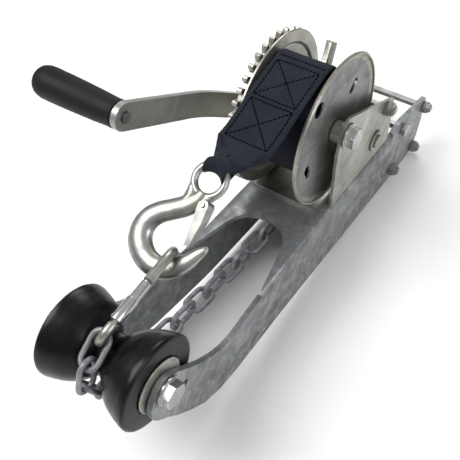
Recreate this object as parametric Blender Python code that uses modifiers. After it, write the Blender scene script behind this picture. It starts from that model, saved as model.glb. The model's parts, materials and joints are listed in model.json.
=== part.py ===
"""Winch head for a boat trailer: a strap winch on a forked bow-roller bracket.

Metres, +Z up.  The origin is the middle of the post clamp, between the two
bracket flanges and the four cross bolts.  +X points back to the post, -X to
the bow roller, and the crank is on the +Y side.
"""

import math

import bmesh
import bpy
from mathutils import Matrix, Vector

MM = 0.001
GAP = 0.3 * MM                      # clearance between touching pieces

# ---- Driving dimensions -----------------------------------------------------
# Places below are (x, z) from the drum axis, in millimetres.
DRUM_FROM_CLAMP = (-169.5, 120.0)   # drum axis seen from the clamp's middle

# Bracket: a folded channel whose flanges run on as two arms
SHEET = 4.8                         # thickness of the galvanised plate
HALF_WIDTH = 45.5                   # outside of a flange, behind the arms
ARM_HALF_WIDTH = 50.4               # outside of an arm at the roller
FLARE_START_X = -110.0
PLATE_TOP_Z = -81.5
PLATE_REAR_X = 119.0
BEND_RADIUS = 6.0
NOTCH_APEX_X = -59.0                # front edge of the plate, on the centre line
STRIP_END_X = -140.0                # where the plate's side strips run out

# Roller
ROLLER_AXIS = (-275.0, -40.0)
ROLLER_HALF = 43.0
ROLLER_END_R = 39.6
ROLLER_WAIST_R = 17.6
ROLLER_BOLT_R = 6.35

# Post clamp bolts: corners of a leaning frame around a 50 mm deep post
CLAMP_ACROSS = (29.3, -3.5)         # half step from front pair to rear pair
CLAMP_ALONG = (6.4, 25.0)           # half step from lower to upper bolt
POST_BOLT_R = 4.0
POST_NUT_FLATS = 13.0

# Winch frame: a folded U
FRAME_T = 3.0
FRAME_HALF = 44.0                   # outside of a side plate
FRAME_FRONT_X = -15.5
FRAME_LIP_X = -28.5                 # the base runs on in front of the side plates
FRAME_REAR_X = 106.0

# Drum and gears
MODULE = 3.548
GEAR_TEETH = 40
PINION_TEETH = 10
CENTRE_DISTANCE = 89.0
PINION_ANGLE = -38.2                # degrees, from the drum axis
FLANGE_R = 72.6
GEAR_FLANGE_R = 74.0
STRAP_WIDTH = 50.8
COIL_R = 49.0
BARREL_R = 16.0
AXLE_R = 6.35
GEAR_Y = (33.4, 38.7)

# Crank
CRANK_RADIUS = 228.6
CRANK_RISE = 26.9                   # degrees above the -X direction
ARM_WIDTH = 25.4
ARM_T = 6.0
SHAFT_R = 7.0
GRIP_LENGTH = 93.0

# Pawl
PAWL_AXIS = (88.0, -26.0)

# Free strap: from the coil over a crest, then down to the hook's eye
STRAP_PLIES = 3.6
STRAP_LINE = [(19, 47.8), (12.5, 51.4), (4, 59), (-1.5, 64.6), (-7, 67.2), (-15, 66.8),
              (-35, 60.8), (-55, 54), (-75, 46.8), (-95, 40.5), (-108, 39.4), (-119, 41)]

# Hook, snap and chain
EYE_CENTRE = (-147.0, 37.8)
EYE_RING_R = 13.1
EYE_WIRE_R = 3.1
HOOK_DIP = 37.0                     # degrees the hook points below -X
SNAP_WIRE_R = 4.0
GATE_R = 4.6
GATE_LENGTH = 35.0
CHAIN_WIRE_R = 2.25
CHAIN_HALF_WIDTH = 10.0
CHAIN_INSIDE = 25.1                 # clear length inside a link
CHAIN_PITCH = 22.8
CHAIN_WRAP_R = 30.2                 # crossing points' distance from the roller axis
CHAIN_START_ANGLE = 140.0           # first crossing point on the roller
CHAIN_LINKS = 15
CHAIN_ANCHOR = (-24.0, -99.2)       # far end of the last link


# ---- Scene ------------------------------------------------------------------
def clear_scene():
    for obj in list(bpy.data.objects):
        bpy.data.objects.remove(obj, do_unlink=True)


def new_collection(name):
    group = bpy.data.collections.new(name)
    bpy.context.scene.collection.children.link(group)
    return group


clear_scene()
PARTS = new_collection("boat_trailer_winch")
CUTTERS = new_collection("cutters")


def finish(name, colour, roughness, metallic):
    mat = bpy.data.materials.new(name)
    mat.use_nodes = True
    shader = mat.node_tree.nodes["Principled BSDF"]
    shader.inputs["Base Color"].default_value = (*colour, 1.0)
    shader.inputs["Roughness"].default_value = roughness
    shader.inputs["Metallic"].default_value = metallic
    return mat


GALVANISED = finish("galvanised", (0.56, 0.57, 0.59), 0.5, 0.9)
ZINC = finish("zinc_plate", (0.62, 0.61, 0.56), 0.35, 1.0)
BRIGHT = finish("bright_zinc", (0.75, 0.75, 0.74), 0.22, 1.0)
CHAIN_GREY = finish("chain_grey", (0.3, 0.31, 0.33), 0.6, 0.8)
RUBBER = finish("black_rubber", (0.02, 0.02, 0.022), 0.55, 0.0)
GRIP_BLACK = finish("grip_plastic", (0.03, 0.03, 0.033), 0.6, 0.0)
WEBBING = finish("webbing", (0.02, 0.025, 0.04), 0.9, 0.0)


# ---- Building blocks --------------------------------------------------------
def empty(name, x, z, parent=None, y=0.0):
    """An axis or frame marker; x and z are millimetres from its parent."""
    obj = bpy.data.objects.new(name, None)
    obj.location = (x * MM, y * MM, z * MM)
    obj.parent = parent
    PARTS.objects.link(obj)
    return obj


def store(name, mesh, parent, material=None, matrix=None):
    """Makes the named object, or a cutter when no material is given."""
    obj = bpy.data.objects.new(name, mesh)
    obj.parent = parent
    if matrix is not None:
        obj.matrix_basis = matrix
    if material is None:
        obj.hide_render = True
        obj.display_type = "WIRE"
        CUTTERS.objects.link(obj)
    else:
        mesh.materials.clear()
        mesh.materials.append(material)
        PARTS.objects.link(obj)
    return obj


def smooth(obj, angle=35.0):
    obj.data.shade_smooth()
    obj.data.set_sharp_from_angle(angle=math.radians(angle))
    return obj


def boolean(obj, other, operation="DIFFERENCE"):
    mod = obj.modifiers.new(other.name, "BOOLEAN")
    mod.operation = operation
    mod.solver = "EXACT"
    mod.object = other
    return obj


def to_mesh(curve_obj):
    """Turns a curve object into a welded mesh and removes the curve."""
    graph = bpy.context.evaluated_depsgraph_get()
    mesh = bpy.data.meshes.new_from_object(curve_obj.evaluated_get(graph))
    bpy.data.objects.remove(curve_obj, do_unlink=True)
    bm = bmesh.new()
    bm.from_mesh(mesh)
    bmesh.ops.remove_doubles(bm, verts=bm.verts, dist=0.01 * MM)
    bmesh.ops.recalc_face_normals(bm, faces=bm.faces)
    bm.to_mesh(mesh)
    bm.free()
    return mesh


def slab_mesh(outlines, thickness):
    """A flat plate lying in X-Z, centred on y = 0; later outlines are holes."""
    curve = bpy.data.curves.new("outline", "CURVE")
    curve.dimensions = "2D"
    curve.fill_mode = "BOTH"
    curve.extrude = thickness * MM / 2
    for points in outlines:
        spline = curve.splines.new("POLY")
        spline.points.add(len(points) - 1)
        for point, (x, z) in zip(spline.points, points):
            point.co = (x * MM, z * MM, 0.0, 1.0)
        spline.use_cyclic_u = True
    obj = bpy.data.objects.new("outline", curve)
    CUTTERS.objects.link(obj)
    mesh = to_mesh(obj)
    mesh.transform(Matrix.Rotation(math.radians(90), 4, "X"))
    return mesh


def slab(name, outlines, thickness, y, parent, material=None):
    mesh = slab_mesh(outlines, thickness)
    mesh.transform(Matrix.Translation((0, y * MM, 0)))
    return store(name, mesh, parent, material)


def arc(cx, cz, radius, start, end, count):
    """Points on an arc, angles in degrees."""
    step = (end - start) / (count - 1)
    angles = [math.radians(start + i * step) for i in range(count)]
    return [(cx + radius * math.cos(a), cz + radius * math.sin(a)) for a in angles]


def circle(cx, cz, radius, count=16):
    return arc(cx, cz, radius, 0, 360 - 360 / count, count)


def turned(name, profile, parent, material=None, x=0.0, z=0.0, steps=32):
    """A shape turned about +Y.  The profile is (radius, y), down its outer side."""
    bm = bmesh.new()
    verts = [bm.verts.new((r * MM, 0, h * MM)) for r, h in profile]
    closed = min(r for r, _ in profile) > 0.01
    for i in range(len(verts) - (0 if closed else 1)):
        bm.edges.new((verts[i], verts[(i + 1) % len(verts)]))
    mesh = bpy.data.meshes.new(name)
    bm.to_mesh(mesh)
    bm.free()
    place = Matrix.Translation((x * MM, 0, z * MM)) @ Matrix.Rotation(math.radians(-90), 4, "X")
    obj = store(name, mesh, parent, material, place)
    screw = obj.modifiers.new("Turn", "SCREW")
    screw.axis = "Z"
    screw.steps = steps
    screw.render_steps = steps
    screw.use_merge_vertices = True
    screw.merge_threshold = 0.01 * MM
    screw.use_smooth_shade = True
    return obj


def ring(name, inner, outer, y0, y1, parent, material=None, x=0.0, z=0.0, steps=24):
    profile = [(outer, y1), (outer, y0), (inner, y0), (inner, y1)]
    return turned(name, profile, parent, material, x, z, steps)


def bar(name, sides, radius, start, end, parent, material=None):
    """A prism with the given number of sides between two points, in millimetres."""
    start, end = Vector(start) * MM, Vector(end) * MM
    bm = bmesh.new()
    bmesh.ops.create_cone(bm, cap_ends=True, segments=sides, radius1=radius * MM,
                          radius2=radius * MM, depth=(end - start).length)
    turn = Vector((0, 0, 1)).rotation_difference(end - start).to_matrix().to_4x4()
    bm.transform(Matrix.Translation((start + end) / 2) @ turn)
    mesh = bpy.data.meshes.new(name)
    bm.to_mesh(mesh)
    bm.free()
    return store(name, mesh, parent, material)


def wire(name, points, radius, parent, material=None, cyclic=False, radii=None, sides=2):
    """A round wire through points (millimetres), with a radius at each if given."""
    curve = bpy.data.curves.new(name, "CURVE")
    curve.dimensions = "3D"
    curve.bevel_depth = radius * MM
    curve.bevel_resolution = sides
    curve.use_fill_caps = not cyclic
    spline = curve.splines.new("POLY")
    spline.points.add(len(points) - 1)
    for i, (point, co) in enumerate(zip(spline.points, points)):
        point.co = (*(Vector(co) * MM), 1.0)
        point.radius = radii[i] / radius if radii else 1.0
    spline.use_cyclic_u = cyclic
    obj = bpy.data.objects.new(name, curve)
    CUTTERS.objects.link(obj)
    return smooth(store(name, to_mesh(obj), parent, material))


def hex_bolt(name, x, z, y_head, y_end, radius, flats, parent, material,
             head=5.5, washer=0.0):
    """A hex bolt along Y whose head's bearing face is at y_head."""
    way = 1.0 if y_end > y_head else -1.0
    corner = flats / math.sqrt(3)
    bolt = bar(name, 6, corner, (x, y_head - way * (washer + head), z),
               (x, y_head - way * washer * 0.5, z), parent, material)
    shank = bar(name + "_shank", 12, radius, (x, y_head - way * head * 0.5, z),
                (x, y_end, z), parent)
    boolean(bolt, shank, "UNION")
    if washer:
        disc = bar(name + "_disc", 18, corner * 1.12, (x, y_head - way * washer, z),
                   (x, y_head, z), parent)
        boolean(bolt, disc, "UNION")
    return bolt


def hex_nut(name, x, z, y0, y1, bore, flats, parent, material, collar=True):
    """A nut along Y; its round locking collar is at the y1 end."""
    corner = flats / math.sqrt(3)
    hex_end = y0 + (y1 - y0) * (0.68 if collar else 1.0)
    nut = bar(name, 6, corner, (x, y0, z), (x, hex_end, z), parent, material)
    if collar:
        top = bar(name + "_collar", 14, flats * 0.45, (x, (y0 + hex_end) / 2, z),
                  (x, y1, z), parent)
        boolean(nut, top, "UNION")
    hole = bar(name + "_bore", 12, bore, (x, min(y0, y1) - 1, z),
               (x, max(y0, y1) + 1, z), parent)
    return boolean(nut, hole)


# ---- Frames on the joints' axes ---------------------------------------------
ROOT = empty("winch_head", DRUM_FROM_CLAMP[0], DRUM_FROM_CLAMP[1])
PINION = (CENTRE_DISTANCE * math.cos(math.radians(PINION_ANGLE)),
          CENTRE_DISTANCE * math.sin(math.radians(PINION_ANGLE)))
CRANK = empty("crank_axis", PINION[0], PINION[1], ROOT)
RISE = math.radians(CRANK_RISE)
GRIP = empty("grip_axis", -CRANK_RADIUS * math.cos(RISE), CRANK_RADIUS * math.sin(RISE), CRANK)
PAWL = empty("pawl_axis", PAWL_AXIS[0], PAWL_AXIS[1], ROOT)
ROLLER = empty("roller_axis", ROLLER_AXIS[0], ROLLER_AXIS[1], ROOT)


# ---- Bracket ----------------------------------------------------------------
def clamp_points():
    """The four cross bolts: upper rear, upper front, lower rear, lower front."""
    cx, cz = -DRUM_FROM_CLAMP[0], -DRUM_FROM_CLAMP[1]
    signs = [(1, 1), (-1, 1), (1, -1), (-1, -1)]
    return [(cx + a * CLAMP_ACROSS[0] + b * CLAMP_ALONG[0],
             cz + a * CLAMP_ACROSS[1] + b * CLAMP_ALONG[1]) for a, b in signs]


def flange_outline():
    """Side view of one flange with its arm, from the fold's rear end round the back."""
    rear = [(119, -87), (119, -80), (137, -75), (206, -86), (210, -89), (208, -116),
            (202, -144), (197, -152), (188, -156.5), (176, -157)]
    lower = [(-100, -148), (-159.5, -143.5), (-185, -141.3), (-210, -136), (-232.5, -125.5),
             (-252.5, -107), (-267, -91), (-278, -76.5)]
    tip = arc(-272, -50, 22, 222, 128, 6)
    crown = arc(ROLLER_AXIS[0], ROLLER_AXIS[1], 12.5, 118, 60, 4)
    upper = [(-260, -36.5), (-249, -47.4), (-234, -61), (-218, -72.7), (-204, -80),
             (-189, -83.3), (-176, -82.8), (-160, -81.5), (-141, -81.5), (-139.5, -87)]
    return rear + lower + tip + crown + upper


def flared(mesh, side):
    """Leans the arm outwards ahead of the flare line."""
    tip_x = ROLLER_AXIS[0]
    for vert in mesh.vertices:
        x = vert.co.x / MM
        share = (x - FLARE_START_X) / (tip_x - FLARE_START_X)
        if share > 0:
            vert.co.y += side * share * (ARM_HALF_WIDTH - HALF_WIDTH) * MM
    return mesh


def flange(name, side, material=None):
    mesh = slab_mesh([flange_outline()], SHEET)
    bm = bmesh.new()
    bm.from_mesh(mesh)
    cut = bm.verts[:] + bm.edges[:] + bm.faces[:]
    bmesh.ops.bisect_plane(bm, geom=cut, plane_co=(FLARE_START_X * MM, 0, 0),
                           plane_no=(1, 0, 0), dist=0.001 * MM)
    bm.to_mesh(mesh)
    bm.free()
    mesh.transform(Matrix.Translation((0, side * (HALF_WIDTH - SHEET / 2) * MM, 0)))
    return store(name, flared(mesh, side), ROOT, material)


def folded_plate(name):
    """Top plate with its two folds, which run a little way down the flanges."""
    outer = [(-HALF_WIDTH, -92)]
    outer += arc(-HALF_WIDTH + BEND_RADIUS, PLATE_TOP_Z - BEND_RADIUS, BEND_RADIUS, 180, 90, 5)
    outer += arc(HALF_WIDTH - BEND_RADIUS, PLATE_TOP_Z - BEND_RADIUS, BEND_RADIUS, 90, 0, 5)
    outer += [(HALF_WIDTH, -92), (HALF_WIDTH - SHEET, -92)]
    inner_r = BEND_RADIUS - SHEET
    inner = arc(HALF_WIDTH - BEND_RADIUS, PLATE_TOP_Z - BEND_RADIUS, inner_r, 0, 90, 3)
    inner += arc(-HALF_WIDTH + BEND_RADIUS, PLATE_TOP_Z - BEND_RADIUS, inner_r, 90, 180, 3)
    section = outer + inner + [(-HALF_WIDTH + SHEET, -92)]
    length = PLATE_REAR_X - STRIP_END_X
    mesh = slab_mesh([section], length)
    mesh.transform(Matrix.Rotation(math.radians(-90), 4, "Z"))
    mesh.transform(Matrix.Translation(((PLATE_REAR_X + STRIP_END_X) / 2 * MM, 0, 0)))
    return store(name, mesh, ROOT)


def notch(name):
    """The U between the arms, seen from above: a round apex and nearly straight sides."""
    side = [(-61.5, 10), (-66, 20), (-73, 26), (-85, 30.5), (-100, 34), (-117, 37.5),
            (-132, 40.6), (STRIP_END_X - 5, 45.4)]
    outline = [(NOTCH_APEX_X, 0)] + side + [(x, -y) for x, y in reversed(side)]
    mesh = slab_mesh([outline], 30)
    mesh.transform(Matrix.Rotation(math.radians(-90), 4, "X"))
    mesh.transform(Matrix.Translation((0, 0, PLATE_TOP_Z * MM)))
    return store(name, mesh, ROOT)


def make_bracket():
    bracket = flange("winch_bracket", -1, GALVANISED)
    plate = folded_plate("bracket_plate")
    boolean(plate, notch("bracket_notch"))
    boolean(bracket, plate, "UNION")
    boolean(bracket, flange("bracket_far_flange", 1), "UNION")
    holes = [(x, z, POST_BOLT_R + 0.4) for x, z in clamp_points()]
    holes += [(*ROLLER_AXIS, ROLLER_BOLT_R + 0.4), (111, -136.5, 3.0)]
    for i, (x, z, r) in enumerate(holes):
        boolean(bracket, bar(f"bracket_hole_{i}", 16, r, (x, -60, z), (x, 60, z), ROOT))
    slot = [(-6, -3), (6, -3), (6, 3), (-6, 3)]
    slot = slab("bracket_slot", [slot], 120, 0, ROOT)
    slot.location = (-256 * MM, 0, -63.5 * MM)
    slot.rotation_euler = (0, math.radians(-50), 0)
    boolean(bracket, slot)
    for i, (x, y, r) in enumerate(base_bolt_points()):
        drill = bar(f"bracket_drill_{i}", 16, r + 0.4, (x, y, -95), (x, y, -75), ROOT)
        boolean(bracket, drill)


def base_bolt_points():
    """The pair of bolts down through the winch base and the plate."""
    return [(92, -17, 4.0), (92, 17, 4.0)]


# ---- Winch frame ------------------------------------------------------------
def side_outline():
    """Side plate: upright front edge, round head over the axle, slope to the pawl bolt."""
    head = arc(2, 5, 12.5, 150, 62, 5)
    apex = arc(95, -31, 11, 65, 0, 4)
    foot_z = PLATE_TOP_Z + 3
    return ([(FRAME_FRONT_X, foot_z), (FRAME_FRONT_X, -14), (-12.5, 0)] + head + apex
            + [(FRAME_REAR_X, foot_z)])


def base_section():
    """Cross section of the folded base, between the two side plates."""
    bottom = PLATE_TOP_Z + GAP / MM
    outer_r, inner_r = 5.0, 2.0
    cy, cz = FRAME_HALF - outer_r, bottom + outer_r
    lower = [(-FRAME_HALF, cz + 3)] + arc(-cy, cz, outer_r, 180, 270, 5)
    lower += arc(cy, cz, outer_r, 270, 360, 5) + [(FRAME_HALF, cz + 3)]
    upper = [(FRAME_HALF - FRAME_T, cz + 3)] + arc(cy, cz, inner_r, 0, -90, 3)
    upper += arc(-cy, cz, inner_r, -90, -180, 3) + [(-FRAME_HALF + FRAME_T, cz + 3)]
    return lower + upper


def make_frame():
    y = FRAME_HALF - FRAME_T / 2
    frame = slab("winch_frame", [side_outline()], FRAME_T, -y, ROOT, ZINC)
    mesh = slab_mesh([base_section()], FRAME_REAR_X - FRAME_FRONT_X)
    mesh.transform(Matrix.Rotation(math.radians(-90), 4, "Z"))
    mesh.transform(Matrix.Translation(((FRAME_REAR_X + FRAME_FRONT_X) / 2 * MM, 0, 0)))
    boolean(frame, store("frame_base", mesh, ROOT), "UNION")
    boolean(frame, slab("frame_far_side", [side_outline()], FRAME_T, y, ROOT), "UNION")
    lip = bmesh.new()
    bmesh.ops.create_cube(lip, size=1.0)
    size = ((FRAME_FRONT_X - FRAME_LIP_X + 4) * MM, 76 * MM, FRAME_T * MM)
    middle = (FRAME_LIP_X * MM + size[0] / 2, 0, (PLATE_TOP_Z + FRAME_T / 2) * MM + GAP)
    bmesh.ops.scale(lip, vec=size, verts=lip.verts)
    bmesh.ops.translate(lip, vec=middle, verts=lip.verts)
    mesh = bpy.data.meshes.new("frame_lip")
    lip.to_mesh(mesh)
    lip.free()
    boolean(frame, store("frame_lip", mesh, ROOT), "UNION")
    bores = [(0, 0, AXLE_R + 0.35), (*PINION, SHAFT_R + 0.35), (*PAWL_AXIS, 4.4)]
    for i, (x, z, r) in enumerate(bores):
        boolean(frame, bar(f"frame_bore_{i}", 20, r, (x, -60, z), (x, 60, z), ROOT))
    seat = bar("frame_bush_bore", 20, SHAFT_R + 2.1, (PINION[0], -60, PINION[1]),
               (PINION[0], -30, PINION[1]), ROOT)
    boolean(frame, seat)
    for i, (x, y, r) in enumerate(base_bolt_points()):
        drill = bar(f"frame_drill_{i}", 16, r + 0.4, (x, y, -90), (x, y, -70), ROOT)
        boolean(frame, drill)


# ---- Fasteners of the fixed frame -------------------------------------------
def make_post_bolts():
    """Long bolts across the flanges; the upper front one has its head on the near side."""
    names = ("upper_rear", "upper_front", "lower_rear", "lower_front")
    for name, (x, z) in zip(names, clamp_points()):
        side = -1.0 if name == "upper_front" else 1.0
        face = side * (HALF_WIDTH + GAP / MM)
        hex_bolt("post_bolt_" + name, x, z, face, -face - side * 9.5, POST_BOLT_R,
                 POST_NUT_FLATS, ROOT, GALVANISED)
        hex_nut("post_nut_" + name, x, z, -face, -face - side * 7.6,
                POST_BOLT_R + 0.35, POST_NUT_FLATS, ROOT, GALVANISED)


def upright(name, x, y, z_head, z_end, radius, parent, material, head_r, head_h):
    """A round-headed bolt standing along Z."""
    bolt = bar(name, 20, head_r, (x, y, z_head), (x, y, z_head + head_h), parent, material)
    shank = bar(name + "_shank", 12, radius, (x, y, z_end), (x, y, z_head + head_h / 2), parent)
    return boolean(bolt, shank, "UNION")


def make_base_bolts():
    under = PLATE_TOP_Z - SHEET - GAP / MM
    top = PLATE_TOP_Z + FRAME_T + 2 * GAP / MM
    for name, (x, y, r) in zip(("near", "far"), base_bolt_points()):
        bolt = upright("base_bolt_" + name, x, y, top, under - 10, r, ROOT, ZINC, 8, 3.6)
        nut = bar(name + "_nut", 6, 7.5, (x, y, under - 7), (x, y, under), ROOT)
        boolean(bolt, nut, "UNION")


def make_chain_stud():
    """A shouldered stud under the plate; the last link hangs between shoulder and nut."""
    under = PLATE_TOP_Z - SHEET - GAP / MM
    link_top = chain_places()[-1][0].z + CHAIN_WIRE_R
    link_low = link_top - 2 * CHAIN_WIRE_R
    x, r = CHAIN_ANCHOR[0] - 4.6, 4.0
    stud = bar("chain_bolt", 6, 7.5, (x, 0, link_top + 0.9), (x, 0, under), ROOT, ZINC)
    shank = bar("chain_bolt_shank", 12, r, (x, 0, link_low - 10), (x, 0, under - 1), ROOT)
    boolean(stud, shank, "UNION")
    nut = bar("chain_nut", 6, 7.5, (x, 0, link_low - 8.5), (x, 0, link_low - 1.3), ROOT, ZINC)
    boolean(nut, bar("chain_nut_bore", 12, r + 0.35, (x, 0, -130), (x, 0, -90), ROOT))


def make_axle_and_shaft_fittings():
    face = FRAME_HALF + GAP / MM
    hex_bolt("drum_axle_bolt", 0, 0, -face, face + 12, AXLE_R, 19, ROOT, BRIGHT,
             head=8, washer=2)
    hex_nut("drum_axle_nut", 0, 0, face, face + 11, AXLE_R + 0.35, 19, ROOT, ZINC)
    ring("drum_spacer", AXLE_R + 0.35, 10.5, -FRAME_HALF + FRAME_T + GAP / MM, -31.2,
         ROOT, ZINC, steps=20)
    # The crankshaft's near end turns in a flanged bush, its far end in the side plate
    inner, outer = SHAFT_R + 0.35, SHAFT_R + 1.8
    start, stop = FRAME_HALF - FRAME_T - 1, FRAME_HALF + 0.3
    profile = [(outer, -start), (outer, -stop), (outer + 2.6, -stop),
               (outer + 2.6, -stop - 1.8), (inner, -stop - 1.8), (inner, -start)]
    turned("shaft_bush", profile, ROOT, ZINC, *PINION, steps=20)
    hex_bolt("pawl_bolt", *PAWL_AXIS, face, -face - 9.5, 4.0, 13, ROOT, ZINC)
    hex_nut("pawl_nut", *PAWL_AXIS, -face, -face - 8, 4.35, 14, ROOT, BRIGHT)


# ---- Drum -------------------------------------------------------------------
def gear_outline(teeth, phase):
    """Stub involute-like teeth with rounded tips; phase is a tooth's middle, in degrees."""
    pitch_r = MODULE * teeth / 2
    root, tip = pitch_r - 1.22 * MODULE, pitch_r + MODULE
    pitch = 360.0 / teeth
    width = pitch / 2 * 0.93
    steps = [(-0.62, root), (-0.5, pitch_r), (-0.29, tip - 0.45), (-0.17, tip),
             (0.17, tip), (0.29, tip - 0.45), (0.5, pitch_r), (0.62, root)]
    points = []
    for tooth in range(teeth):
        for share, radius in steps:
            angle = math.radians(phase + tooth * pitch + share * width)
            points.append((radius * math.cos(angle), radius * math.sin(angle)))
    return points


def make_drum():
    bore = AXLE_R + 0.5
    half = STRAP_WIDTH / 2
    ring("drum_barrel", bore, BARREL_R, -27.6, 28.3, ROOT, ZINC, steps=24)
    # Near flange: flat web, rolled lip turned out at the rim
    web = [(bore, -28.2), (66.5, -28.2), (69.6, -28.9), (71.7, -30.2), (FLANGE_R, -32.0),
           (71.9, -33.2), (70.9, -33.0), (70.4, -31.6), (68.4, -30.6), (66.0, -30.3),
           (bore, -30.3)]
    near = turned("drum_flange_near", web, ROOT, ZINC, steps=48)
    boolean(near, bar("flange_hole", 16, 7.5, (-33.5, -40, 43.5), (-33.5, -20, 43.5), ROOT))
    for i, (x, z, lean) in enumerate(((30, 30, 40), (-45.6, -16.9, -70))):
        cutter = slab(f"flange_slot_{i}", [[(-8, -1), (-6, -4), (6, -4), (8, -1), (8, 1), (6, 4), (-6, 4),
                                             (-8, 1)]], 20, -29, ROOT)
        cutter.location = (x * MM, 0, z * MM)
        cutter.rotation_euler = (0, -math.radians(lean), 0)
        boolean(near, cutter)
    # Gear-side flange: its middle is pressed outwards to meet the gear
    profile = [(GEAR_FLANGE_R, 31.0), (GEAR_FLANGE_R, 28.8), (62.5, 28.8), (60.0, 30.6),
               (bore, 30.6), (bore, 33.0), (59.0, 33.0), (61.5, 31.0)]
    turned("drum_flange_gear", profile, ROOT, ZINC, steps=48)
    gear = slab("drum_gear", [gear_outline(GEAR_TEETH, GEAR_PHASE), circle(0, 0, bore, 24)],
                GEAR_Y[1] - GEAR_Y[0], sum(GEAR_Y) / 2, ROOT, ZINC)
    smooth(gear, 25)
    ring("strap_coil", BARREL_R + GAP / MM, COIL_R, -half, half, ROOT, WEBBING, steps=48)


# A drum tooth gap faces the pinion, and a pinion tooth faces the drum
GEAR_PHASE = PINION_ANGLE + 180.0 / GEAR_TEETH
PINION_PHASE = PINION_ANGLE + 180.0


# ---- Crank ------------------------------------------------------------------
def arm_centre_line():
    """(distance from the shaft, y of the bar's middle): flat hub, sweep out, flat end."""
    hub, end = 50.3, 97.0
    reach = [(-14, 0), (14, 0), (28, 0.08), (44, 0.28), (62, 0.52), (80, 0.72), (98, 0.88),
             (114, 0.97), (128, 1), (CRANK_RADIUS + 14, 1)]
    return [(along, hub + share * (end - hub)) for along, share in reach]


def make_crank():
    shaft = bar("crank_shaft", 20, SHAFT_R, (0, -FRAME_HALF - 4.5, 0), (0, 46.9, 0),
                CRANK, ZINC)
    neck = bar("crank_shaft_neck", 16, 5.0, (0, 40, 0), (0, 62.5, 0), CRANK)
    boolean(shaft, neck, "UNION")
    pinion = slab("pinion", [gear_outline(PINION_TEETH, PINION_PHASE),
                             circle(0, 0, SHAFT_R + 0.3, 20)], 7.6, 36.4, CRANK, ZINC)
    smooth(pinion, 25)

    # The arm is a flat bar bent in plan; its middle line carries the thickness
    line = arm_centre_line()
    side = [(a, y + ARM_T / 2) for a, y in line] + [(a, y - ARM_T / 2) for a, y in reversed(line)]
    mesh = slab_mesh([side], ARM_WIDTH + 20)
    mesh.transform(Matrix.Rotation(math.radians(-90), 4, "X"))
    arm = store("crank_arm", mesh, CRANK, ZINC)
    half = ARM_WIDTH / 2
    end = arc(CRANK_RADIUS, 0, half, 90, -90, 9)
    start = arc(0, 0, half, 270, 90, 9)
    trim = slab("arm_trim", [end + start], 160, 70, CRANK)
    boolean(arm, trim, "INTERSECT")
    boolean(arm, bar("arm_hub_bore", 16, 5.35, (0, 40, 0), (0, 60, 0), CRANK))
    boolean(arm, bar("arm_end_bore", 16, 5.35, (CRANK_RADIUS, 80, 0),
                     (CRANK_RADIUS, 110, 0), CRANK))
    turn = Matrix.Rotation(math.pi + RISE, 4, "Y")
    for obj in [arm] + [o for o in CUTTERS.objects if o.name.startswith("arm_")]:
        obj.matrix_basis = turn @ obj.matrix_basis
    hex_nut("crank_nut", 0, 0, 53.8, 62, 5.35, 17, CRANK, BRIGHT)

    # Grip: a bolt through the arm's end, and a barrel grip turning on it
    bolt = bar("grip_bolt", 16, 5.0, (0, 91.5, 0), (0, 178, 0), GRIP, ZINC)
    boolean(bolt, bar("grip_bolt_head", 16, 7.5, (0, 174, 0), (0, 178, 0), GRIP), "UNION")
    y0 = 100.6
    y1 = y0 + GRIP_LENGTH
    bore = 5.4
    profile = [(0, y1), (6, y1 - 0.6), (11, y1 - 3.2), (14, y1 - 7.5), (15, y1 - 14),
               (14.6, y1 - 40), (13.6, y1 - 70), (12.8, y0 + 8), (12.3, y0 + 1.5), (11.4, y0),
               (bore, y0), (bore, 173), (8.0, 173), (8.0, 179), (0, 179)]
    turned("crank_grip", profile, GRIP, GRIP_BLACK, steps=20)


# ---- Pawl -------------------------------------------------------------------
def make_pawl():
    """The pawl rocks on its bolt, its nose just clear of the pinion, its lever up."""
    nose = [(-6.5, -9.5), (-2.2, -14.6), (1.0, -15.8), (5.5, -13), (8.2, -6), (9.5, 4)]
    lever = [(20.0, 15), (25.0, 34), (21.0, 35.5), (13.5, 18), (3.5, 10.0)]
    back = arc(0, 0, 8.5, 115, 210, 6)
    pawl = slab("ratchet_pawl", [nose + lever + back], 5.0, 36.2, PAWL, ZINC)
    tab = slab("pawl_tab", [[(25.4, 34.8), (21.6, 36.4), (12.6, 11.5), (16.8, 9.5)]],
               10.6, 34.6, PAWL)
    boolean(pawl, tab, "UNION")
    boolean(pawl, bar("pawl_bore", 16, 4.35, (0, 20, 0), (0, 50, 0), PAWL))
    # A torsion spring of three turns sits on the bolt beside the pawl
    turns, per_turn, radius = 3, 12, 6.2
    coil = []
    for i in range(turns * per_turn + 1):
        angle = 2 * math.pi * i / per_turn
        coil.append((radius * math.cos(angle), 27.0 + 1.75 * i / per_turn,
                     radius * math.sin(angle)))
    tail = [(radius + 0.5, 26.9, -8), (radius + 0.5, 26.9, -16)]
    wire("pawl_spring", list(reversed(tail)) + coil, 0.7, PAWL, BRIGHT, sides=1)


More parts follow.
